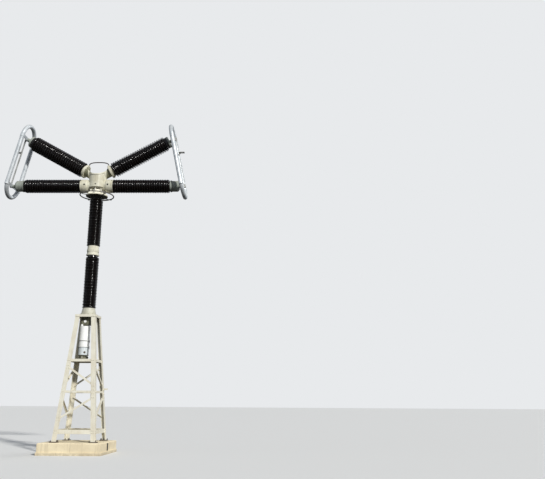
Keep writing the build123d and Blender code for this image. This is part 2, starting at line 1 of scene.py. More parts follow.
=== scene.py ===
"""One pole of a live-tank circuit breaker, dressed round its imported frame.

Metres. The origin is at ground level on the column's axis, the arms run along X, +Z is up.
"""
import json
import math

import bpy
import numpy as np
from mathutils import Matrix


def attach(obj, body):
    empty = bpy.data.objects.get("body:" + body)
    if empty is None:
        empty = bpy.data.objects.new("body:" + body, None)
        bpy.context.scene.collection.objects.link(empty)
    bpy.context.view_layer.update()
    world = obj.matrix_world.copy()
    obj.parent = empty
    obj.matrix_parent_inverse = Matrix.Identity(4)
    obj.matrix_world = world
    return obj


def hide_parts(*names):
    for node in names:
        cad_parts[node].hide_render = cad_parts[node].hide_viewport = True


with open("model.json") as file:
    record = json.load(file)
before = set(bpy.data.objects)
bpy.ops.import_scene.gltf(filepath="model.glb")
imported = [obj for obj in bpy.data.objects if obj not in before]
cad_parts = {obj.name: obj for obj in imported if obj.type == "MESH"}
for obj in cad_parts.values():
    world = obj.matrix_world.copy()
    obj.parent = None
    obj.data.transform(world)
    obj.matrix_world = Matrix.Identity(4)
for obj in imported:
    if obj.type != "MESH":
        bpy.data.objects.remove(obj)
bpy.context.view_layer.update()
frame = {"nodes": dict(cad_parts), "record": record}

X = np.array([1.0, 0.0, 0.0])
Y = np.array([0.0, 1.0, 0.0])
Z = np.array([0.0, 0.0, 1.0])
PLAIN_AXES = np.array([X, Y, Z])
SIDES = ((-1, "left"), (1, "right"))

# Tower
FEET = 0.36
TOWER_HEIGHT = 3.98
BASE_WIDTH = 1.35
TOP_WIDTH = 0.64
LEG_THICKNESS = 0.014
LEG_HEAD = 3.95
CHANNEL_LEVEL = 0.32
TIE_LEVEL = 1.528
LOWER_BRACE_FOOT = 0.70
MIDDLE_BRACE_HEAD = 2.30
PLATFORM_LEVEL = 2.547

# Column
TOWER_TOP = 4.34
LOWER_COLUMN_FOOT = 4.57
JOINT_FOOT = 6.35
UPPER_COLUMN_FOOT = 6.67
COLUMN_TOP_FOOT = 8.36
HUB_FOOT = 8.425
HUB_AXIS = 8.80
HUB_BODY = 0.295
SADDLE_LOW = 9.17
SADDLE_HALF_WIDTH = 0.32
SADDLE_RISE = 0.2
NECK_CUT = 0.318
NECK_RADIUS = 0.1575
PIPE_HALF_SPAN = 0.336
PIPE_FOOT = 9.556
PIPE_RISE = 0.112
PIPE_ROUNDNESS = 2.7
PIPE_RADIUS = 0.0175

# Arms
ARM_ROOT = 9.09
ARM_ANGLE = math.radians(29)
INTERRUPTER_START = 0.56
INTERRUPTER_LENGTH = 1.97
CAP_LENGTH = 0.29
CAP_END = INTERRUPTER_START + INTERRUPTER_LENGTH + CAP_LENGTH
DRUM_START = 0.30
DRUM_RADIUS = 0.23
RESISTOR_FLANGE = (0.474, 0.546)
RESISTOR_START = 0.58
RESISTOR_LENGTH = 2.126
END_FLANGE_LENGTH = 0.064
RESISTOR_END = RESISTOR_START + RESISTOR_LENGTH + END_FLANGE_LENGTH

# Corona rings: racetracks through the two arm ends, at these gaps from them
LOWER_BAR_GAP = 0.126
UPPER_BAR_GAP = 0.175
RING_BELOW_LOWER_BAR = 0.39
RING_ABOVE_UPPER_BAR = 0.464
RING_REACH = CAP_END + LOWER_BAR_GAP
UPPER_BAR_REACH = RESISTOR_END + UPPER_BAR_GAP
UPPER_BAR_X = UPPER_BAR_REACH * math.cos(ARM_ANGLE)
UPPER_BAR_Z = ARM_ROOT - HUB_AXIS + UPPER_BAR_REACH * math.sin(ARM_ANGLE)
UPPER_BAR_RISE = math.hypot(RING_REACH - UPPER_BAR_X, UPPER_BAR_Z)
RING_LEAN = math.asin((RING_REACH - UPPER_BAR_X) / UPPER_BAR_RISE)
RING_HALF_WIDTH = 0.49
RING_LOW = RING_HALF_WIDTH - RING_BELOW_LOWER_BAR
RING_HIGH = UPPER_BAR_RISE + RING_ABOVE_UPPER_BAR - RING_HALF_WIDTH
RING_TUBE = 0.0696

# Mechanism
MECHANISM = np.array([-0.06, -0.06, 0.0])
COVER_FOOT = 3.042
HOUSING_FOOT = 3.292
HOUSING_RADIUS = 0.165
SEAM_LEVEL = 3.4935
HOUSING_TOP = 3.977
LINKAGE_SIZE = (0.34, 0.33)
LINKAGE_MIDDLE = 4.165
INDICATOR = np.array([-0.04, -0.187, 4.125])


# Shapes
def unit(vector):
    """A vector divided by its own length."""
    return np.asarray(vector, float) / np.linalg.norm(vector)


def axes_along(along, across):
    """Three right-handed axes: across, the third, and along."""
    along = unit(along)
    across = unit(across - np.dot(across, along) * along)
    return np.array([across, np.cross(along, across), along])


def grid_faces(rows, columns, wrap_rows=False):
    """Quads between each row of a grid and the next, where the last column meets the first."""
    row = np.arange(rows if wrap_rows else rows - 1)[:, None]
    column = np.arange(columns)[None, :]
    right = (column + 1) % columns
    here = row * columns
    above = (row + 1) % rows * columns
    corners = [here + column, here + right, above + right, above + column]
    return np.stack(np.broadcast_arrays(*corners), -1).reshape(-1, 4).tolist()


def turns(count):
    """Equal turns round a full circle."""
    return np.arange(count) * 2 * np.pi / count


def spoke_rows(angle, axes):
    """One unit vector a row, turned by its angle from the first axis towards the second."""
    return np.cos(angle)[:, None] * axes[0] + np.sin(angle)[:, None] * axes[1]


def lathe(profile, origin, axes, sides=64):
    """A profile of (radius, distance) pairs turned about an axis.

    Each point is the origin, plus its distance along the axis, plus its radius times the across axis
    turned through a full circle in equal steps. A fan to the axis closes each end.
    """
    profile = np.asarray(profile, float)
    spokes = spoke_rows(turns(sides), axes)
    points = origin + profile[:, 0, None, None] * spokes + profile[:, 1, None, None] * axes[2]
    poles = origin + profile[[0, -1], 1, None] * axes[2]
    here = np.arange(sides)
    after = (here + 1) % sides
    count = len(profile) * sides
    low_fan = np.stack([np.full(sides, count), after, here], 1)
    high_fan = np.stack([np.full(sides, count + 1), count - sides + here, count - sides + after], 1)
    faces = grid_faces(len(profile), sides) + low_fan.tolist() + high_fan.tolist()
    return np.vstack([points.reshape(-1, 3), poles]), faces


def inset(outline, distance):
    """An outline moved inwards: each corner moves along the sum of its two edges' inward normals."""
    before = outline - np.roll(outline, 1, 0)
    after = np.roll(outline, -1, 0) - outline
    normals = []
    for edge in (before, after):
        normals.append(np.stack([-edge[:, 1], edge[:, 0]], 1) / np.linalg.norm(edge, axis=1)[:, None])
    share = 1 + np.sum(normals[0] * normals[1], 1)
    return outline + distance * (normals[0] + normals[1]) / share[:, None]


def prism(outline, low, high, edge, origin, axes):
    """A flat outline carried along an axis from low to high, its end corners cut back by edge.

    Each point is the origin, plus the outline's two numbers along the first two axes, plus its level
    along the third. The outline turns left round the shape.
    """
    outline = np.asarray(outline, float)
    smaller = inset(outline, edge)
    levels = [(smaller, low), (outline, low + edge), (outline, high - edge), (smaller, high)]
    rows = [np.column_stack([flat, np.full(len(flat), level)]) for flat, level in levels]
    points = origin + np.vstack(rows) @ axes
    count = len(outline)
    ends = [list(range(count))[::-1], list(range(3 * count, 4 * count))]
    return points, grid_faces(4, count) + ends


def oblong(width, depth):
    """The corners of a rectangle about the origin, turning left."""
    x, y = width / 2, depth / 2
    return np.array([(-x, -y), (x, -y), (x, y), (-x, y)])


def polygon(radius, corners):
    """The corners of a regular polygon."""
    angle = turns(corners)
    return radius * np.column_stack([np.cos(angle), np.sin(angle)])


def tube(path, across, radius, sides=24, closed=False):
    """A round or oval tube on a path.

    Each point is the path's point, plus a turned circle between the across direction and the normal
    that is square to it and to the path. One radius makes a round tube; two, along the normal and
    across, an oval one. The ends close with flat discs.
    """
    path = np.asarray(path, float)
    across = np.broadcast_to(across, path.shape)
    tall, wide = np.broadcast_to(radius, 2)
    if closed:
        tangent = np.roll(path, -1, 0) - np.roll(path, 1, 0)
    else:
        tangent = np.gradient(path, axis=0)
    tangent /= np.linalg.norm(tangent, axis=1)[:, None]
    normal = np.cross(across, tangent)
    angle = turns(sides)
    lifted = tall * np.cos(angle)[:, None] * normal[:, None]
    aside = wide * np.sin(angle)[:, None] * across[:, None]
    points = (path[:, None] + (lifted + aside)).reshape(-1, 3)
    faces = grid_faces(len(path), sides, wrap_rows=closed)
    if not closed:
        last = (len(path) - 1) * sides
        faces += [list(range(sides))[::-1], list(range(last, last + sides))]
    return points, faces


# How far a plug's hexagon is cut back at its ends, and the angle above which an edge stays sharp
PLUG_EDGE = 0.001
SHARP_EDGE = math.radians(32)

# Bolts: the head's corner radius, and the stud's height over the head as a share of it
RING_BOLT = (0.0125, 0.3)
COLUMN_BOLT = (0.0105, 0.5)
RING_ARM_BOLT = (0.0115, 0.4)
ARM_BOLT = (0.0125, 0.4)
COVER_BOLT = (0.0065, 0.0)
TOWER_BOLT = (0.0135, 0.3)
ANCHOR_BOLT = (0.0185, 1.7)


def bolt_shape(size, stud):
    """A hexagon head on a washer, and a stud end above it.

    All its measures, the stud's too, are shares of the head's corner radius.
    """
    middle = np.zeros(3)
    washer = [(1.28 * size, 0), (1.28 * size, 0.16 * size), (1.1 * size, 0.2 * size)]
    surfaces = [lathe(washer, middle, PLAIN_AXES, sides=14)]
    head = polygon(size, 6)
    surfaces.append(prism(head, 0.18 * size, 0.95 * size, 0.1 * size, middle, PLAIN_AXES))
    if stud:
        end = size * np.array([(0.55, 0.9), (0.55, 0.9 + stud), (0.42, 1.05 + stud)])
        surfaces.append(lathe(end, middle, PLAIN_AXES, sides=10))
    return surfaces


def bolts(places, size, stud):
    """Copies of one bolt, each at a (point, axis) pair: its points are turned to the axis and moved."""
    surfaces = []
    for points, faces in bolt_shape(size, stud):
        for where, axis in places:
            side = X if abs(axis[0]) < 0.8 else Y
            surfaces.append((where + points @ axes_along(axis, side), faces))
    return surfaces


def bolt_circle(origin, axes, radius, count, distance, degrees=0.0, facing=1):
    """Equally spaced (point, axis) pairs on a circle about an axis, facing along it or back."""
    spokes = spoke_rows(math.radians(degrees) + turns(count), axes)
    return [(origin + distance * axes[2] + radius * spoke, facing * axes[2]) for spoke in spokes]


def bolt_grid(origin, axes, across, up, depth):
    """The (point, axis) pairs at each distance across and each distance up a face."""
    places = []
    for aside in across:
        for lift in up:
            places.append((origin + aside * axes[0] + lift * axes[1] + depth * axes[2], axes[2]))
    return places


def plug(seat, axes, profile, head, low, high):
    """A turned plug on its seat, with a hexagon head of this corner radius from low to high."""
    hexagon = prism(polygon(head, 6), low, high, PLUG_EDGE, seat, axes)
    return [lathe(profile, seat, axes, sides=24), hexagon]


def build(name, surfaces, finish, replaces=()):
    """One object on the root body from closed surfaces, smooth except at its sharp edges."""
    points = np.vstack([surface[0] for surface in surfaces])
    faces = []
    start = 0
    for surface_points, surface_faces in surfaces:
        faces += [[corner + start for corner in face] for face in surface_faces]
        start += len(surface_points)
    mesh = bpy.data.meshes.new(name)
    mesh.from_pydata(points.tolist(), [], faces)
    mesh.polygons.foreach_set("use_smooth", np.ones(len(faces), bool))
    mesh.set_sharp_from_angle(angle=SHARP_EDGE)
    mesh.materials.append(finish)
    piece = bpy.data.objects.new(name, mesh)
    bpy.context.scene.collection.objects.link(piece)
    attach(piece, "root")
    if replaces:
        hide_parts(*replaces)
    return piece


# Finishes
def tone(red, green, blue):
    """A display colour from 0 to 255 as the linear colour that a shader takes."""
    share = np.array([red, green, blue]) / 255
    linear = np.where(share <= 0.04045, share / 12.92, ((share + 0.055) / 1.055) ** 2.4)
    return (*linear.tolist(), 1.0)


SETTLED_DUST = tone(176, 165, 146)
METAL_DUST = tone(170, 162, 148)
RUST_BROWN = tone(112, 66, 38)
# Painted shade: the dark colour put on faces that look down.
PAINTED_UNDERSIDE_SHADE = tone(46, 45, 38)


def add_node(tree, kind, inputs=None, **settings):
    """A node with its settings, and its inputs either linked or set."""
    made = tree.nodes.new(kind)
    for key, value in settings.items():
        setattr(made, key, value)
    for key, value in (inputs or {}).items():
        if isinstance(value, bpy.types.NodeSocket):
            tree.links.new(value, made.inputs[key])
        else:
            made.inputs[key].default_value = value
    return made


def ramp(tree, value, low, high, to_low=0.0, to_high=1.0):
    """A smooth step from one value to another between two limits."""
    made = add_node(tree, "ShaderNodeMapRange", {0: value, 1: low, 2: high, 3: to_low, 4: to_high})
    made.interpolation_type = "SMOOTHSTEP"
    return made.outputs[0]


def blend(tree, factor, first, second):
    """Two colours mixed by a factor."""
    made = add_node(tree, "ShaderNodeMix", data_type="RGBA", blend_type="MIX")
    for socket, value in ((made.inputs[0], factor), (made.inputs[6], first), (made.inputs[7], second)):
        if isinstance(value, bpy.types.NodeSocket):
            tree.links.new(value, socket)
        else:
            socket.default_value = value
    return made.outputs[2]


def times(tree, first, second):
    """The product of two values."""
    return add_node(tree, "ShaderNodeMath", {0: first, 1: second}, operation="MULTIPLY").outputs[0]


def noise(tree, place, scale, detail=4.0, roughness=0.55):
    """Noise at a place, in features per metre."""
    inputs = {"Vector": place, "Scale": scale, "Detail": detail, "Roughness": roughness}
    return add_node(tree, "ShaderNodeTexNoise", inputs).outputs["Fac"]


def object_place(tree):
    """The object's own coordinates, in metres."""
    return tree.nodes.new("ShaderNodeTexCoord").outputs["Object"]


def weathering_and_shade_group():
    """Masks that several finishes share: blotches, grain, rain streaks, settled dust, and painted shade on
    faces that look down.
    """
    tree = bpy.data.node_groups.new("weathering_and_shade", "ShaderNodeTree")
    for name in ("Blotch", "Grain", "Streak", "Dust", "UnderShade"):
        tree.interface.new_socket(name, in_out="OUTPUT", socket_type="NodeSocketFloat")
    scale = tree.interface.new_socket("Scale", in_out="INPUT", socket_type="NodeSocketFloat")
    scale.default_value = 1.0
    inside = tree.nodes.new("NodeGroupInput")
    outside = tree.nodes.new("NodeGroupOutput")
    inputs = {0: object_place(tree), "Scale": inside.outputs["Scale"]}
    spot = add_node(tree, "ShaderNodeVectorMath", inputs, operation="SCALE").outputs[0]
    blotch = ramp(tree, noise(tree, spot, 2.6, 5.0), 0.36, 0.68)
    grain = noise(tree, spot, 90.0, 3.0, 0.6)
    drawn = add_node(tree, "ShaderNodeMapping", {"Vector": spot, "Scale": (14.0, 14.0, 0.9)}).outputs[0]
    streak = ramp(tree, noise(tree, drawn, 1.0, 4.0, 0.6), 0.5, 0.74)
    facing = tree.nodes.new("ShaderNodeNewGeometry").outputs["Normal"]
    up = add_node(tree, "ShaderNodeSeparateXYZ", {0: facing}).outputs["Z"]
    dust = times(tree, ramp(tree, up, 0.15, 0.95), ramp(tree, noise(tree, spot, 7.0, 4.0), 0.3, 0.62))
    # Faces that look down, for painted shade.
    under = ramp(tree, up, -0.8, -0.97)
    masks = {"Blotch": blotch, "Grain": grain, "Streak": streak, "Dust": dust, "UnderShade": under}
    for name, value in masks.items():
        tree.links.new(value, outside.inputs[name])
    return tree


WEATHERING_AND_SHADE = weathering_and_shade_group()


def start_finish(name, scale):
    """A new material with its shader and its shared masks of wear and painted shade."""
    made = bpy.data.materials.new(name)
    made.use_nodes = True
    tree = made.node_tree
    shader = tree.nodes["Principled BSDF"]
    masks = tree.nodes.new("ShaderNodeGroup")
    masks.node_tree = WEATHERING_AND_SHADE
    masks.inputs["Scale"].default_value = scale
    return made, tree, shader, masks.outputs


def bump(tree, shader, height, strength, distance):
    """Relief from a height, into the shader's normal."""
    made = add_node(tree, "ShaderNodeBump", {"Strength": strength, "Distance": distance, "Height": height})
    tree.links.new(made.outputs[0], shader.inputs["Normal"])


def paint(name, colour, worn, grime, roughness, streaks, rust=0.0, scale=1.0, underside_shade=0.0):
    """Weathered paint: chalky patches, rain streaks and dust on top faces.

    Rust adds small brown spots, and the underside share darkens the faces that look down as painted shade.
    """
    made, tree, shader, masks = start_finish(name, scale)
    place = object_place(tree)
    base = blend(tree, masks["Blotch"], colour, worn)
    base = blend(tree, times(tree, masks["Streak"], streaks), base, grime)
    base = blend(tree, times(tree, masks["Dust"], 0.35), base, SETTLED_DUST)
    if rust:
        spots = ramp(tree, noise(tree, place, 38.0, 6.0, 0.7), 0.66, 0.72)
        patches = ramp(tree, noise(tree, place, 3.1, 3.0), 0.52, 0.66)
        base = blend(tree, times(tree, times(tree, spots, patches), rust), base, RUST_BROWN)
    # Painted shade on the faces that look down.
    if underside_shade:
        base = blend(tree, times(tree, masks["UnderShade"], underside_shade), base, PAINTED_UNDERSIDE_SHADE)
    tree.links.new(base, shader.inputs["Base Color"])
    rough = ramp(tree, masks["Blotch"], 0.0, 1.0, roughness, roughness + 0.14)
    tree.links.new(rough, shader.inputs["Roughness"])
    bump(tree, shader, masks["Grain"], 0.18, 0.0012)
    return made


def metal(name, colour, dull, roughness, metallic):
    """Bare metal that weather has dulled in patches."""
    made, tree, shader, masks = start_finish(name, 1.6)
    place = object_place(tree)
    base = blend(tree, masks["Blotch"], colour, dull)
    base = blend(tree, times(tree, masks["Streak"], 0.3), base, dull)
    base = blend(tree, times(tree, masks["Dust"], 0.25), base, METAL_DUST)
    tree.links.new(base, shader.inputs["Base Color"])
    shader.inputs["Metallic"].default_value = metallic
    rough = ramp(tree, noise(tree, place, 16.0), 0.3, 0.7, roughness - 0.07, roughness + 0.13)
    tree.links.new(rough, shader.inputs["Roughness"])
    bump(tree, shader, masks["Grain"], 0.12, 0.0008)
    return made


def glazed_porcelain():
    """Near-black brown glaze, with a redder tinge in patches and thin dust where the sheds face up."""
    made, tree, shader, masks = start_finish("glazed_porcelain", 1.3)
    place = object_place(tree)
    base = blend(tree, masks["Blotch"], tone(18, 11, 9), tone(12, 9, 9))
    base = blend(tree, times(tree, masks["Dust"], 0.07), base, tone(88, 76, 66))
    tree.links.new(base, shader.inputs["Base Color"])
    shader.inputs["Specular IOR Level"].default_value = 0.85
    wear = noise(tree, place, 11.0, 3.0)
    tree.links.new(ramp(tree, wear, 0.35, 0.7, 0.16, 0.26), shader.inputs["Roughness"])
    bump(tree, shader, noise(tree, place, 24.0, 2.0), 0.05, 0.002)
    return made


def cast_concrete():
    """Pale beige concrete: cloudy patches, small air holes, rain stains from the top and a damp foot."""
    made, tree, shader, masks = start_finish("cast_concrete", 1.0)
    place = object_place(tree)
    height = add_node(tree, "ShaderNodeSeparateXYZ", {0: place}).outputs["Z"]
    base = blend(tree, masks["Blotch"], tone(242, 228, 194), tone(228, 213, 180))
    base = blend(tree, times(tree, masks["Streak"], 0.4), base, tone(171, 156, 130))
    fine = ramp(tree, noise(tree, place, 140.0, 3.0, 0.7), 0.35, 0.75)
    base = blend(tree, times(tree, fine, 0.22), base, tone(150, 139, 120))
    damp = times(tree, ramp(tree, height, 0.11, 0.0), ramp(tree, noise(tree, place, 6.0), 0.3, 0.6))
    base = blend(tree, times(tree, damp, 0.45), base, tone(140, 124, 100))
    cells = add_node(tree, "ShaderNodeTexVoronoi", {"Vector": place, "Scale": 34.0}).outputs["Distance"]
    some = ramp(tree, noise(tree, place, 9.0, 2.0), 0.5, 0.6)
    holes = times(tree, ramp(tree, cells, 0.13, 0.07), some)
    base = blend(tree, times(tree, holes, 0.6), base, tone(110, 98, 82))
    tree.links.new(base, shader.inputs["Base Color"])
    shader.inputs["Roughness"].default_value = 0.88
    inputs = {0: masks["Grain"], 1: holes}
    relief = add_node(tree, "ShaderNodeMath", inputs, operation="SUBTRACT").outputs[0]
    bump(tree, shader, relief, 0.4, 0.004)
    return made


def plain_plastic(name, colour, roughness):
    """Moulded plastic with a faint grime."""
    made, tree, shader, masks = start_finish(name, 4.0)
    base = blend(tree, times(tree, masks["Blotch"], 0.25), colour, tone(150, 146, 134))
    tree.links.new(base, shader.inputs["Base Color"])
    shader.inputs["Roughness"].default_value = roughness
    shader.inputs["Coat Weight"].default_value = 0.4
    return made


def dark_glass():
    """A small dark sight glass, lightly dusted."""
    made, tree, shader, masks = start_finish("dark_glass", 6.0)
    base = blend(tree, times(tree, masks["Blotch"], 0.3), tone(18, 20, 22), tone(46, 46, 44))
    tree.links.new(base, shader.inputs["Base Color"])
    shader.inputs["Roughness"].default_value = 0.08
    return made


concrete = cast_concrete()
tower_tones = (tone(224, 221, 205), tone(212, 206, 188), tone(170, 160, 138))
tower_paint = paint("tower_paint", *tower_tones, roughness=0.5, streaks=0.4, rust=0.5)
flange_tones = (tone(216, 214, 195), tone(198, 194, 172), tone(146, 138, 118))
flange_wear = {"roughness": 0.48, "streaks": 0.45, "rust": 0.25, "scale": 1.6}
flange_paint = paint("flange_paint", *flange_tones, **flange_wear)
# The hub's paint, with painted shade on its faces that look down.
hub_paint = paint("hub_paint", *flange_tones, **flange_wear, underside_shade=0.85)
# A lighter copy of the flange paint for the hub's skirt and gussets: painted light.
lit_gusset_tones = (tone(244, 243, 234), tone(232, 229, 214), tone(176, 168, 148))
lit_gusset_paint = paint("lit_gusset_paint", *lit_gusset_tones, roughness=0.45, streaks=0.3, rust=0.1, scale=1.6)
# A darker, greyer copy of the flange paint for the column's base flange: partly dust, partly painted shade
# that tones down its upward faces.
dust_and_shade_base_flange_tones = (tone(200, 199, 184), tone(172, 170, 154), tone(136, 130, 114))
dust_and_shade_base_flange_paint = paint("dust_and_shade_base_flange_paint", *dust_and_shade_base_flange_tones,
                          roughness=0.5, streaks=0.45, rust=0.3, scale=1.6)
# Dark olive for the arms' necks: partly their own dull colour, partly painted shade under the arms' discs.
neck_and_shade_tones = (tone(124, 124, 100), tone(106, 106, 86), tone(84, 80, 66))
neck_paint_and_shade = paint("neck_paint_and_shade", *neck_and_shade_tones, roughness=0.55, streaks=0.4, rust=0.1, scale=2.0)
cap_tones = (tone(150, 156, 148), tone(128, 134, 126), tone(90, 90, 84))
cap_paint = paint("cap_paint", *cap_tones, roughness=0.5, streaks=0.4, rust=0.1, scale=1.6)
housing_tones = (tone(246, 248, 247), tone(240, 241, 239), tone(206, 205, 198))
housing_white = paint("housing_white", *housing_tones,
                      roughness=0.34, streaks=0.25, rust=0.05, scale=1.4)
cover_tones = (tone(212, 219, 222), tone(200, 207, 210), tone(160, 164, 164))
cover_grey = paint("cover_grey", *cover_tones, roughness=0.4, streaks=0.35, rust=0.1, scale=1.6)
drive_tones = (tone(116, 116, 96), tone(100, 100, 83), tone(112, 108, 90))
drive_dark = paint("drive_dark", *drive_tones, roughness=0.6, streaks=0.4, rust=0.2, scale=2.0)
# Dark paint of the balance pipe, also put on the column's top flange as painted shade.
pipe_and_shade_tones = (tone(52, 48, 44), tone(40, 37, 34), tone(80, 74, 64))
pipe_and_shade_dark = paint("pipe_and_shade_dark", *pipe_and_shade_tones, roughness=0.42, streaks=0.3, rust=0.2, scale=3.0)
gasket_tones = (tone(44, 44, 42), tone(34, 34, 33), tone(70, 68, 62))
gasket = paint("gasket", *gasket_tones, roughness=0.7, streaks=0.3, scale=3.0)
porcelain = glazed_porcelain()
ring_tones = (tone(212, 217, 220), tone(184, 190, 194))
ring_metal = metal("ring_metal", *ring_tones, roughness=0.4, metallic=0.25)
bar_tones = (tone(196, 197, 193), tone(160, 160, 155))
bar_metal = metal("bar_metal", *bar_tones, roughness=0.45, metallic=0.5)
column_ring_tones = (tone(132, 128, 123), tone(110, 106, 100))
column_ring_grey = metal("column_ring_grey", *column_ring_tones, roughness=0.5, metallic=0.4)
bolt_tones = (tone(190, 188, 178), tone(148, 140, 124))
bolt_zinc = metal("bolt_zinc", *bolt_tones, roughness=0.45, metallic=0.3)
dark_bolt_tones = (tone(92, 84, 74), tone(66, 52, 42))
bolt_dark = metal("bolt_dark", *dark_bolt_tones, roughness=0.6, metallic=0.35)
dial_white = plain_plastic("dial_white", tone(246, 246, 243), roughness=0.2)
sight_glass = dark_glass()

CAD_FINISHES = {
    "concrete": concrete,
    "tower_paint": tower_paint,
    "flange_paint": flange_paint,
    "cap_paint": cap_paint,
    "housing_white": housing_white,
    "cover_grey": cover_grey,
    "drive_dark": drive_dark,
    "indicator": dial_white,
    "porcelain": porcelain,
    "ring_aluminium": ring_metal,
    "bar_aluminium": bar_metal,
    "pipe_metal": pipe_and_shade_dark,
}
for subpart in frame["record"]["subparts"]:
    for material_slot in frame["nodes"][subpart["node"]].material_slots:
        material_slot.material = CAD_FINISHES[subpart["material_slot"]]
OWN_FINISHES = {
    "column_ring": column_ring_grey,
    "column_base_flange": dust_and_shade_base_flange_paint,
    # Painted shade: the top flange under the hub takes the dark pipe paint.
    "column_top_flange": pipe_and_shade_dark,
    "hub_casting": hub_paint,
    "mechanism_base": drive_dark,
}
for node, finish in OWN_FINISHES.items():
    for material_slot in frame["nodes"][node].material_slots:
        material_slot.material = finish


# Porcelains: the pitch of each pair of sheds, then the radii of core, large sheds and small sheds
COLUMN_SHEDS = (0.095, 0.162, 0.222, 0.211)
INTERRUPTER_SHEDS = (0.084, 0.172, 0.234, 0.223)
RESISTOR_SHEDS = (0.084, 0.196, 0.264, 0.252)
LARGE_EDGE = 0.0125
SMALL_EDGE = 0.006
BARE_ENDS = 0.03


def shed(core, rim, middle, edge):
    """One shed's outline: a slightly hollow underside, a round rim and a sloping top that ends on the core.

    The rim is an arc of the edge's radius, at eight equally spaced turns from under the shed to over it.
    The other points are given by their share of the way from the core to the rim and by their height.
    """
    turn = np.radians(np.linspace(-100, 74, 8))
    arc = np.column_stack([rim - edge + edge * np.cos(turn), middle + edge * np.sin(turn)])
    underside = [(0.0, 0.008), (0.1, 0.001), (0.5, -0.005)]
    top = [(0.6, 0.0145), (0.3, 0.021), (0.12, 0.026), (0.04, 0.031), (0.0, 0.037)]
    below = [(core + share * (rim - core), middle + lift) for share, lift in underside]
    above = [(core + share * (rim - core), middle + lift) for share, lift in top]
    return below + arc.tolist() + above


def insulator(name, origin, axes, length, pitch, core, rim, small_rim):
    """A porcelain: its core, with large and small sheds in turn along its whole length."""
    pairs = int((length - BARE_ENDS) / pitch)
    first = (length - pairs * pitch) / 2
    profile = [(core, 0.0)]
    for i in range(pairs):
        profile += shed(core, rim, first + i * pitch, LARGE_EDGE)
        profile += shed(core, small_rim, first + (i + 0.5) * pitch, SMALL_EDGE)
    profile.append((core, length))
    build(name + "_sheds", [lathe(profile, origin, axes)], porcelain, [name])


UPRIGHT = axes_along(Z, X)
for name, foot, head in (
    ("lower_support_insulator", LOWER_COLUMN_FOOT, JOINT_FOOT),
    ("upper_support_insulator", UPPER_COLUMN_FOOT, COLUMN_TOP_FOOT),
):
    insulator(name, foot * Z, UPRIGHT, head - foot, *COLUMN_SHEDS)


def flat_arm(side):
    """Origin and axes of one horizontal interrupter."""
    return HUB_AXIS * Z, axes_along(side * X, Z)


def rising_arm(side):
    """Origin and axes of one resistor arm."""
    along = np.array([side * math.cos(ARM_ANGLE), 0, math.sin(ARM_ANGLE)])
    return ARM_ROOT * Z, axes_along(along, Z)


def ring_frame(side):
    """Origin and axes of one corona ring: across, up the ring, and outwards through it."""
    across = side * Y
    up = np.array([-side * math.sin(RING_LEAN), 0, math.cos(RING_LEAN)])
    return np.array([side * RING_REACH, 0, HUB_AXIS]), np.array([across, up, np.cross(across, up)])


for side, word in SIDES:
    origin, axes = flat_arm(side)
    start = origin + INTERRUPTER_START * axes[2]
    insulator(f"interrupter_insulator_{word}", start, axes, INTERRUPTER_LENGTH, *INTERRUPTER_SHEDS)
    origin, axes = rising_arm(side)
    start = origin + RESISTOR_START * axes[2]
    insulator(f"resistor_insulator_{word}", start, axes, RESISTOR_LENGTH, *RESISTOR_SHEDS)


# Corona rings
RING_BAR = (0.11, 0.016)
RING_BAR_REACH = 0.46
BAR_BOLTS = (-0.41, 0.41)
BAR_BOLT_LIFTS = np.array([-0.028, 0.028])
PAD_BOLTS = (-0.028, 0.028)
PAD_BOLT_LIFTS = np.array([-0.033, 0.033])
PAD_FACE = 0.084
SLEEVE_REACH = 0.07
SLEEVE_CHAMFER = 0.004
SLEEVE_RADIUS = RING_TUBE + 0.0045
RING_SIDES = 40
BAR_EDGE = 0.003
HALF_TURN = np.linspace(0, np.pi, 49)


def racetrack(origin, axes):
    """Points of a racetrack: two half circles, joined by two straights.

    Each point of the upper half circle is its middle, less the half width times the turn's cosine
    across, plus the half width times its sine up. The lower half circle has both signs reversed.
    """
    across = RING_HALF_WIDTH * np.cos(HALF_TURN)
    rise = RING_HALF_WIDTH * np.sin(HALF_TURN)
    upper = np.column_stack([-across, RING_HIGH + rise])
    lower = np.column_stack([across, RING_LOW - rise])
    return origin + np.vstack([upper, lower]) @ axes[:2]


for side, word in SIDES:
    origin, axes = ring_frame(side)
    surfaces = [tube(racetrack(origin, axes), axes[2], RING_TUBE, RING_SIDES, closed=True)]
    bar_axes = np.array([axes[1], axes[2], axes[0]])
    sleeve_axes = axes_along(axes[1], axes[0])
    sleeve = [
        (RING_TUBE, -SLEEVE_REACH),
        (SLEEVE_RADIUS, SLEEVE_CHAMFER - SLEEVE_REACH),
        (SLEEVE_RADIUS, SLEEVE_REACH - SLEEVE_CHAMFER),
        (RING_TUBE, SLEEVE_REACH),
    ]
    places = []
    for rise in (0.0, UPPER_BAR_RISE):
        middle = origin + rise * axes[1]
        bar = (oblong(*RING_BAR), -RING_BAR_REACH, RING_BAR_REACH, BAR_EDGE)
        surfaces.append(prism(*bar, middle, bar_axes))
        for end in (-1, 1):
            at = middle + end * RING_HALF_WIDTH * axes[0]
            surfaces.append(lathe(sleeve, at, sleeve_axes, RING_SIDES))
        places += bolt_grid(origin, axes, BAR_BOLTS, rise + BAR_BOLT_LIFTS, RING_BAR[1] / 2)
        places += bolt_grid(origin, axes, PAD_BOLTS, rise + PAD_BOLT_LIFTS, PAD_FACE)
    build(f"ring_tube_{word}", surfaces, ring_metal, [f"corona_ring_{word}"])
    build(f"ring_bolts_{word}", bolts(places, *RING_BOLT), bolt_zinc)

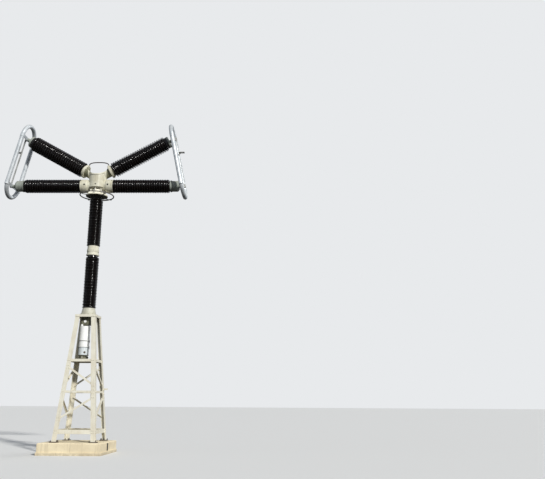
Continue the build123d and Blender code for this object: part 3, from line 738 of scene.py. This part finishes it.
# Bolts of the column: each flange's level, bolt circle, count, top face and turn
places = []
for level, radius, count, face, degrees in (
    (TOWER_TOP, 0.261, 12, 0.034, 15),
    (JOINT_FOOT, 0.199, 12, 0.032, 0),
    (HUB_FOOT, 0.188, 8, 0.035, 22.5),
):
    places += bolt_circle(level * Z, UPRIGHT, radius, count, face, degrees)
build("column_bolts", bolts(places, *COLUMN_BOLT), bolt_zinc)

# Bolts that hold the column ring's four arms under the hub's flange
RING_ARM_FACE = HUB_FOOT - 0.008
RING_ARM_BOLTS = (0.25, 0.33)
places = []
for distance in RING_ARM_BOLTS:
    places += bolt_circle(RING_ARM_FACE * Z, UPRIGHT, distance, 4, 0.0, 45, facing=-1)
build("ring_arm_bolts", bolts(places, *RING_ARM_BOLT), bolt_zinc)

# Hub
LIP_INSET = 0.002
LIP_DROP = 0.021
LIP_RADII = (0.0255, 0.0185)
LIP_POINTS = 120


def saddle_lip():
    """The rolled lip round the hub's saddle.

    Its path runs round the body, a little inside the edge's level, which rises with the distance
    along X as a circle's arc does: the arc's radius less the root of its square less the distance's.
    """
    spokes = spoke_rows(turns(LIP_POINTS), PLAIN_AXES)
    bend = (SADDLE_HALF_WIDTH ** 2 + SADDLE_RISE ** 2) / (2 * SADDLE_RISE)
    rise = bend - np.sqrt(bend ** 2 - (HUB_BODY * spokes[:, 0]) ** 2)
    path = (HUB_BODY - LIP_INSET) * spokes + (SADDLE_LOW - LIP_DROP + rise)[:, None] * Z
    return tube(path, spokes, LIP_RADII, sides=16, closed=True)


build("hub_lip", [saddle_lip()], flange_paint)

# Filling plug in the recess of the hub's front
FRONTWARDS = axes_along(-Y, X)
RECESS_DEPTH = 0.008
HUB_PLUG = [(0.0215, -0.004), (0.0215, 0.006), (0.018, 0.009)]
HUB_PLUG_HEAD = (0.012, 0.006, 0.02)
plug_seat = np.array([0, -HUB_BODY + RECESS_DEPTH, HUB_AXIS])
build("hub_plug", plug(plug_seat, FRONTWARDS, HUB_PLUG, *HUB_PLUG_HEAD), gasket)

# Skirt and gussets under the hub's body, each from its foot on the flange to its head
SKIRT = [
    (0.15, 0.035),
    (0.275, 0.035),
    (0.245, 0.055),
    (0.215, 0.09),
    (0.196, 0.13),
    (0.183, 0.18),
    (0.172, 0.249),
]
GUSSET_CORE = 0.16
GUSSET_FOOT = (0.3565, 0.034)
GUSSET_HEAD = (0.2155, 0.2915)
GUSSET_HALF_THICKNESS = 0.0085
GUSSET_EDGE = 0.002

hub_foot = HUB_FOOT * Z
surfaces = [lathe(SKIRT, hub_foot, UPRIGHT)]
gusset = [(GUSSET_CORE, GUSSET_FOOT[1]), GUSSET_FOOT, GUSSET_HEAD, (GUSSET_CORE, GUSSET_HEAD[1])]
for degrees in range(0, 360, 45):
    spoke = np.array([math.cos(math.radians(degrees)), math.sin(math.radians(degrees)), 0])
    gusset_axes = np.array([spoke, Z, np.cross(spoke, Z)])
    flat = (gusset, -GUSSET_HALF_THICKNESS, GUSSET_HALF_THICKNESS, GUSSET_EDGE)
    surfaces.append(prism(*flat, hub_foot, gusset_axes))
# Skirt and gussets take the lighter copy of the flange paint as painted light.
build("hub_gussets", surfaces, lit_gusset_paint)

NECK_SIDES = 64
NECK_WALL = 0.003
NECK_GAP = 0.001


def neck_sleeve(side):
    """A thin sleeve on an arm's neck, cut square to X where it leaves the hub's body; its dark olive is
    partly painted shade.

    Round the arm's axis, each point of its inner end lies at the distance along the arm that puts it
    on the cut: the cut's X plus the sleeve's height above the axis times the sine of the arm's angle,
    over the cosine. Its outer end is square to the arm, a millimetre short of the arm's disc.
    """
    origin, axes = rising_arm(side)
    turn = turns(NECK_SIDES)
    spokes = spoke_rows(turn, axes)
    inner = (NECK_CUT + NECK_RADIUS * np.cos(turn) * math.sin(ARM_ANGLE)) / math.cos(ARM_ANGLE)
    rows = [
        (NECK_RADIUS - NECK_WALL, inner),
        (NECK_RADIUS, inner + NECK_WALL),
        (NECK_RADIUS, np.full(NECK_SIDES, RESISTOR_FLANGE[0] - NECK_GAP)),
    ]
    points = [origin + radius * spokes + distance[:, None] * axes[2] for radius, distance in rows]
    ends = [list(range(NECK_SIDES))[::-1], list(range(2 * NECK_SIDES, 3 * NECK_SIDES))]
    return np.vstack(points), grid_faces(3, NECK_SIDES) + ends


build("neck_sleeves", [neck_sleeve(-1), neck_sleeve(1)], neck_paint_and_shade)


def balance_arch():
    """The pipe over the hub: half a rounded oval from one boss to the other.

    Its points share one sum: the distance along X over the half span, and the rise over the arch's
    height, each to the power of the roundness, add up to one.
    """
    cosine = np.cos(HALF_TURN)
    across = PIPE_HALF_SPAN * np.sign(cosine) * np.abs(cosine) ** (2 / PIPE_ROUNDNESS)
    rise = PIPE_RISE * np.sin(HALF_TURN) ** (2 / PIPE_ROUNDNESS)
    path = across[:, None] * X + (PIPE_FOOT + rise)[:, None] * Z
    return tube(path, Y, PIPE_RADIUS, sides=16)


build("balance_arch", [balance_arch()], pipe_and_shade_dark, ["balance_pipe"])

# Drums: a chamfered inner edge, a groove and a bolted outer flange
DRUM_CORE = 0.17
DRUM_EDGE = 0.003
GROOVE_LOW = 0.5
GROOVE_HIGH = 0.515
GROOVE_RADIUS = DRUM_RADIUS - 0.014
DRUM = [
    (DRUM_CORE, DRUM_START),
    (DRUM_RADIUS - 0.034, DRUM_START),
    (DRUM_RADIUS - 0.03, DRUM_START + DRUM_EDGE),
    (DRUM_RADIUS - DRUM_EDGE, DRUM_START + 0.033),
    (DRUM_RADIUS, DRUM_START + 0.038),
    (DRUM_RADIUS, GROOVE_LOW - DRUM_EDGE),
    (DRUM_RADIUS - DRUM_EDGE, GROOVE_LOW),
    (GROOVE_RADIUS, GROOVE_LOW + DRUM_EDGE),
    (GROOVE_RADIUS, GROOVE_HIGH - DRUM_EDGE),
    (DRUM_RADIUS - DRUM_EDGE, GROOVE_HIGH),
    (DRUM_RADIUS, GROOVE_HIGH + DRUM_EDGE),
    (DRUM_RADIUS, INTERRUPTER_START - 0.004),
    (DRUM_RADIUS - 0.004, INTERRUPTER_START),
    (DRUM_CORE, INTERRUPTER_START),
]

# Bolt circles of the arms: radius, count, distance along the arm, turn and facing
RISING_ARM_BOLTS = (
    (0.2, 12, RESISTOR_FLANGE[0], 15, -1),
    (0.2, 12, RESISTOR_FLANGE[1], 15, 1),
    (0.165, 10, RESISTOR_END, 0, 1),
)
FLAT_ARM_BOLTS = (
    (0.118, 8, CAP_END, 0, 1),
    (0.192, 12, INTERRUPTER_START, 15, 1),
)

# A filling plug and a valve on the drum's front: distance along the arm, height over its axis, size
DRUM_PLUGS = ((0.4, 0.0, 0.022), (0.53, 0.14, 0.012))

for side, word in SIDES:
    places = []
    origin, axes = rising_arm(side)
    for circle in RISING_ARM_BOLTS:
        places += bolt_circle(origin, axes, *circle)
    origin, axes = flat_arm(side)
    for circle in FLAT_ARM_BOLTS:
        places += bolt_circle(origin, axes, *circle)
    build(f"arm_bolts_{word}", bolts(places, *ARM_BOLT), bolt_zinc)
    build(f"drum_{word}", [lathe(DRUM, origin, axes)], flange_paint,
          [f"interrupter_inner_flange_{word}"])

    surfaces = []
    for distance, height, size in DRUM_PLUGS:
        depth = math.sqrt(DRUM_RADIUS ** 2 - height ** 2)
        seat = np.array([side * distance, -depth, HUB_AXIS + height])
        out = axes_along(np.array([0, -depth, height]), X)
        profile = [(1.3 * size, -0.004), (1.3 * size, 0.005), (1.1 * size, 0.008)]
        surfaces += plug(seat, out, profile, 0.8 * size, 0.004, 0.02)
    build(f"drum_plugs_{word}", surfaces, gasket)


# Mechanism: gaskets, latches, lifting eyes and lug, sight glass and valve caps
GASKET_CORE = 0.155
GASKET_RADIUS = HOUSING_RADIUS + 0.001
GASKETS = ((SEAM_LEVEL, 0.02), (HOUSING_FOOT, 0.012), (COVER_FOOT, 0.008))
EYE_REACH = 0.12
EYE_LEVEL = 0.026
EYE_RADIUS = 0.02
EYE_WIRE = 0.005
EYE_FOOT = [(0.016, -0.002), (0.016, 0.006), (0.009, 0.012)]
CAP_REACH = 0.145
CAP_LEVEL = FEET + PLATFORM_LEVEL + 0.062
CAP = [(0.026, -0.004), (0.026, 0.01), (0.021, 0.014)]
CAP_HEAD = (0.013, 0.012, 0.024)


def around(degrees, radius, level):
    """A place on the mechanism's round side and its axes: sideways, up and outwards."""
    angle = math.radians(degrees)
    outwards = np.array([math.sin(angle), -math.cos(angle), 0])
    return MECHANISM + radius * outwards + level * Z, np.array([np.cross(Z, outwards), Z, outwards])


surfaces = []
for level, height in GASKETS:
    band = [
        (GASKET_CORE, -height / 2),
        (GASKET_RADIUS, -height / 2),
        (GASKET_RADIUS, height / 2),
        (GASKET_CORE, height / 2),
    ]
    surfaces.append(lathe(band, MECHANISM + level * Z, UPRIGHT))
build("housing_gaskets", surfaces, gasket)

# Each latch has an upper and a lower plate, a handle over the seam and a hook. The plates and the
# handle are given by outline, low and high face, edge and height from the seam.
LATCH_PARTS = (
    (oblong(0.03, 0.034), 0.0, 0.007, 0.0015, 0.034),
    (oblong(0.03, 0.044), 0.0, 0.007, 0.0015, -0.036),
    (oblong(0.017, 0.062), 0.007, 0.015, 0.003, -0.014),
)
HOOK = ((-0.008, 0.01), (-0.008, 0.034), (0.0, 0.042), (0.008, 0.034), (0.008, 0.01))
HOOK_DEPTH = 0.011
HOOK_WIRE = 0.0025
LATCH_SEAT = HOUSING_RADIUS - 0.002

surfaces = []
for degrees in (-82, 98):
    for level in (SEAM_LEVEL, HOUSING_FOOT):
        place, axes = around(degrees, LATCH_SEAT, level)
        for outline, low, high, edge, lift in LATCH_PARTS:
            surfaces.append(prism(outline, low, high, edge, place + lift * Z, axes))
        hook = [place + across * axes[0] + HOOK_DEPTH * axes[2] + lift * Z for across, lift in HOOK]
        surfaces.append(tube(hook, axes[2], HOOK_WIRE, sides=8))
build("housing_latches", surfaces, bolt_zinc)

surfaces = []
for degrees in (90, 180):
    place, axes = around(degrees, EYE_REACH, HOUSING_TOP)
    loop = place + EYE_LEVEL * Z + EYE_RADIUS * spoke_rows(turns(24), axes)
    surfaces.append(tube(loop, axes[2], EYE_WIRE, sides=10, closed=True))
    surfaces.append(lathe(EYE_FOOT, place, UPRIGHT, sides=20))
for degrees in (0, 120, 240):
    surfaces += plug(*around(degrees, CAP_REACH, CAP_LEVEL), CAP, *CAP_HEAD)
build("housing_fittings", surfaces, bolt_zinc)

# Lifting lug on the housing's top, a little in front of the linkage housing
LUG_FOOT = np.array([-0.132, -0.172, HOUSING_TOP])
LUG_THICKNESS = 0.015
LUG_EDGE = 0.002
LUG_BOSS_LEVEL = 0.032
LUG = [(-0.034, -0.002), (0.034, -0.002), (0.034, 0.03), (0.02, 0.06), (-0.02, 0.06), (-0.034, 0.03)]
LUG_BOSS = [(0.017, 0.013), (0.017, 0.017), (0.014, 0.019)]
surfaces = [prism(LUG, 0.0, LUG_THICKNESS, LUG_EDGE, LUG_FOOT, np.array([X, Z, -Y]))]
surfaces.append(lathe(LUG_BOSS, LUG_FOOT + LUG_BOSS_LEVEL * Z, FRONTWARDS, sides=20))
build("housing_lug", surfaces, housing_white)

# Sight glass in the lower cover
GLASS_TURN = 28
GLASS_SEAT = HOUSING_RADIUS - 0.004
GLASS_LEVEL = COVER_FOOT + 0.085
GLASS_RIM = [(0.024, -0.006), (0.036, -0.006), (0.036, 0.004), (0.031, 0.008), (0.024, 0.006)]
LENS = [(0.0245, -0.004), (0.0245, 0.004), (0.02, 0.0055)]
place, axes = around(GLASS_TURN, GLASS_SEAT, GLASS_LEVEL)
build("sight_glass_rim", [lathe(GLASS_RIM, place, axes, sides=32)], bolt_dark)
build("sight_glass", [lathe(LENS, place, axes, sides=32)], sight_glass)

# Linkage housing: a bolted cover on each side, and the window's bezel
COVER_MARGIN = 0.05
COVER_HEIGHT = 0.236
COVER_BACK = -0.002
COVER_FACE = 0.004
COVER_EDGE = 0.0012
COVER_BOLT_INSET = 0.037
COVER_BOLT_LIFT = 0.106
FOUR_SIDES = ((0, -1), (1, 0), (0, 1), (-1, 0))

surfaces = []
places = []
for out_x, out_y in FOUR_SIDES:
    width, depth = LINKAGE_SIZE if out_y else LINKAGE_SIZE[::-1]
    out = np.array([out_x, out_y, 0.0])
    cover_axes = np.array([np.cross(Z, out), Z, out])
    middle = depth / 2 * out + LINKAGE_MIDDLE * Z
    cover = oblong(width - COVER_MARGIN, COVER_HEIGHT)
    surfaces.append(prism(cover, COVER_BACK, COVER_FACE, COVER_EDGE, middle, cover_axes))
    bolt_reach = width / 2 - COVER_BOLT_INSET
    for across in (-1, 0, 1):
        for lift in (-1, 0, 1):
            if across or lift:
                at = middle + across * bolt_reach * cover_axes[0] + lift * COVER_BOLT_LIFT * Z
                places.append((at + COVER_FACE * out, out))
build("linkage_covers", surfaces, drive_dark)
build("linkage_bolts", bolts(places, *COVER_BOLT), bolt_dark)

BEZEL = [(0.0375, -0.022), (0.043, -0.022), (0.043, 0.0), (0.039, 0.003), (0.0345, 0.003)]
build("indicator_bezel", [lathe(BEZEL, INDICATOR, FRONTWARDS, sides=40)], housing_white)

# Bolts of the tower
SLOPE = (BASE_WIDTH - TOP_WIDTH) / 2 / TOWER_HEIGHT
LEAN = math.atan(SLOPE)
BOLT_LINES = (0.045, 0.1)
LEG_FACE = LEG_THICKNESS * math.cos(LEAN)
HEAD_PLATE = 0.0135


def half_width(height):
    """Outer half width of the tower at a height above the plinth."""
    return BASE_WIDTH / 2 - SLOPE * height


def side_axes(out_x, out_y):
    """Origin and axes of one sloping side: across, up the slope, and outwards."""
    reach = BASE_WIDTH / 2 - LEG_THICKNESS
    outwards = np.array([out_x * math.cos(LEAN), out_y * math.cos(LEAN), math.sin(LEAN)])
    across = np.array([-out_y, out_x, 0.0])
    origin = np.array([out_x * reach, out_y * reach, FEET])
    return origin, np.array([across, np.cross(outwards, across), outwards])


def on_side(origin, axes, across, height, depth):
    """A point on a side, from its distance across, its height above the plinth and its depth."""
    return origin + across * axes[0] + height / math.cos(LEAN) * axes[1] + depth * axes[2]


# Each joint's height, its end of the side, the bolts' heights about it and the plate under them
TOWER_JOINTS = (
    (CHANNEL_LEVEL, -1, (-0.035, 0.035), 0.0),
    (CHANNEL_LEVEL, 1, (-0.035, 0.035), 0.0),
    (LOWER_BRACE_FOOT, -1, (-0.04, 0.04), 0.0),
    (TIE_LEVEL, -1, (0,), 0.0),
    (TIE_LEVEL, 1, (-0.18, -0.06, 0.06, 0.18), 0.0),
    (MIDDLE_BRACE_HEAD, -1, (-0.04, 0.04), 0.0),
    (PLATFORM_LEVEL - 0.042, -1, (0,), 0.0),
    (PLATFORM_LEVEL - 0.042, 1, (0,), 0.0),
    (LEG_HEAD - 0.025, -1, (0,), HEAD_PLATE),
    (LEG_HEAD - 0.025, 1, (0,), HEAD_PLATE),
)

places = []
for out_x, out_y in FOUR_SIDES:
    origin, axes = side_axes(out_x, out_y)
    for height, end, lifts, plate in TOWER_JOINTS:
        for lift in lifts:
            at = height + lift
            for inward in BOLT_LINES:
                across = end * (half_width(at) - inward)
                places.append((on_side(origin, axes, across, at, LEG_FACE + plate), axes[2]))
build("tower_bolts", bolts(places, *TOWER_BOLT), tower_paint)

# Foot plates, with three anchor bolts inside each leg and one outside it
FOOT_PLATE_MIDDLE = 0.605
FOOT_PLATE_WIDTH = 0.223
FOOT_PLATE_FACES = (0.0005, 0.0262)
FOOT_PLATE_EDGE = 0.002
ANCHOR_SEAT = FEET + 0.025
ANCHORS = ((0.525, 0.525), (0.525, 0.625), (0.625, 0.525), (0.696, 0.696))

places = []
surfaces = []
for side_x in (-1, 1):
    for side_y in (-1, 1):
        for x, y in ANCHORS:
            places.append((np.array([side_x * x, side_y * y, ANCHOR_SEAT]), Z))
        middle = np.array([side_x * FOOT_PLATE_MIDDLE, side_y * FOOT_PLATE_MIDDLE, FEET])
        plate = oblong(FOOT_PLATE_WIDTH, FOOT_PLATE_WIDTH)
        surfaces.append(prism(plate, *FOOT_PLATE_FACES, FOOT_PLATE_EDGE, middle, PLAIN_AXES))
build("anchor_bolts", bolts(places, *ANCHOR_BOLT), bolt_dark)
build("foot_plates", surfaces, bolt_dark)

# Dark panel in a dark brown frame, set in the plinth's right face
DARK_PANEL_FRAME = (0.136, 0.228)
DARK_PANEL_FRAME_FACES = (-0.004, 0.004)
DARK_PANEL = (0.108, 0.2)
DARK_PANEL_FACES = (0.002, 0.0075)
DARK_PANEL_EDGE = 0.0015
DARK_PANEL_MIDDLE = np.array([0.93, -0.15, 0.218])
DARK_PANEL_AXES = np.array([Y, Z, X])
surfaces = [prism(oblong(*DARK_PANEL_FRAME), *DARK_PANEL_FRAME_FACES, DARK_PANEL_EDGE, DARK_PANEL_MIDDLE, DARK_PANEL_AXES)]
build("dark_panel_frame", surfaces, bolt_dark)
surfaces = [prism(oblong(*DARK_PANEL), *DARK_PANEL_FACES, DARK_PANEL_EDGE, DARK_PANEL_MIDDLE, DARK_PANEL_AXES)]
build("dark_panel", surfaces, gasket)


# Stage, light and camera
FLOOR_LEFT, FLOOR_RIGHT = -150, 150
FLOOR_FRONT, FLOOR_BACK = -60, 260


def floor_finish():
    """A plain pale floor that keeps the object's shadow and throws little light back up."""
    made = bpy.data.materials.new("pale_floor")
    made.use_nodes = True
    tree = made.node_tree
    shader = tree.nodes["Principled BSDF"]
    seen = tree.nodes.new("ShaderNodeLightPath").outputs["Is Camera Ray"]
    colour = blend(tree, seen, tone(58, 57, 54), tone(226, 226, 224))
    tree.links.new(colour, shader.inputs["Base Color"])
    shader.inputs["Roughness"].default_value = 0.9
    return made


floor_corners = [
    (FLOOR_LEFT, FLOOR_FRONT, 0),
    (FLOOR_RIGHT, FLOOR_FRONT, 0),
    (FLOOR_RIGHT, FLOOR_BACK, 0),
    (FLOOR_LEFT, FLOOR_BACK, 0),
]
floor_mesh = bpy.data.meshes.new("floor")
floor_mesh.from_pydata(floor_corners, [], [(0, 1, 2, 3)])
floor_mesh.materials.append(floor_finish())
floor = bpy.data.objects.new("floor", floor_mesh)
bpy.context.scene.collection.objects.link(floor)

# The world is pale where it is seen, and lights the object more weakly and a little bluer
world = bpy.data.worlds.new("studio")
bpy.context.scene.world = world
world.use_nodes = True
tree = world.node_tree
background = tree.nodes["Background"]
seen = add_node(tree, "ShaderNodeBackground", {"Color": tone(232, 234, 236), "Strength": 1.0})
background.inputs["Color"].default_value = tone(226, 234, 246)
background.inputs["Strength"].default_value = 0.3
rays = tree.nodes.new("ShaderNodeLightPath").outputs
inputs = {0: rays["Is Camera Ray"], 1: rays["Is Transmission Ray"]}
shown = add_node(tree, "ShaderNodeMath", inputs, operation="MAXIMUM").outputs[0]
inputs = {0: shown, 1: background.outputs[0], 2: seen.outputs[0]}
chosen = add_node(tree, "ShaderNodeMixShader", inputs)
tree.links.new(chosen.outputs[0], tree.nodes["World Output"].inputs["Surface"])


def place_by_axes(placed, right, back, at):
    """Turns a lamp or camera so that it looks away from the back axis, and moves it."""
    turned = np.column_stack([right, np.cross(back, right), back]).tolist()
    placed.matrix_world = Matrix([[*row, shift] for row, shift in zip(turned, at)] + [[0, 0, 0, 1]])
    bpy.context.scene.collection.objects.link(placed)


def sun(name, azimuth, elevation, strength, softness, colour):
    """A distant lamp at an azimuth to the right of the front, and an elevation, in degrees."""
    lamp = bpy.data.lights.new(name, "SUN")
    lamp.energy = strength
    lamp.angle = math.radians(softness)
    lamp.color = colour
    turn, lift = math.radians(azimuth), math.radians(elevation)
    back = np.array([math.sin(turn) * math.cos(lift), -math.cos(turn) * math.cos(lift), math.sin(lift)])
    place_by_axes(bpy.data.objects.new(name, lamp), unit(np.cross(Z, back)), back, (0, 0, 0))


sun("key", azimuth=36, elevation=29, strength=3.6, softness=4, colour=(1.0, 0.985, 0.955))
sun("fill", azimuth=-60, elevation=20, strength=0.35, softness=40, colour=(0.9, 0.95, 1.0))
sun("side", azimuth=125, elevation=20, strength=0.7, softness=40, colour=(0.97, 0.98, 1.0))

# The camera stands 1.56 m above the ground, 22 m in front of the pole and to its right
CAMERA_PLACE = (6.4803, -21.967, 1.5551)
CAMERA_YAW = 0.0199
CAMERA_PITCH = 0.2396
CAMERA_ROLL = 0.0060
CAMERA_LENS = 44.4
forward = np.array([
    -math.sin(CAMERA_YAW) * math.cos(CAMERA_PITCH),
    math.cos(CAMERA_YAW) * math.cos(CAMERA_PITCH),
    math.sin(CAMERA_PITCH),
])
level = np.array([math.cos(CAMERA_YAW), math.sin(CAMERA_YAW), 0])
right = math.cos(CAMERA_ROLL) * level + math.sin(CAMERA_ROLL) * np.cross(level, forward)
camera_data = bpy.data.cameras.new("camera")
camera_data.lens = CAMERA_LENS
camera_data.sensor_width = 36
camera_data.clip_end = 500
camera = bpy.data.objects.new("camera", camera_data)
place_by_axes(camera, right, -forward, CAMERA_PLACE)
bpy.context.scene.camera = camera
bpy.context.scene.view_settings.view_transform = "Standard"
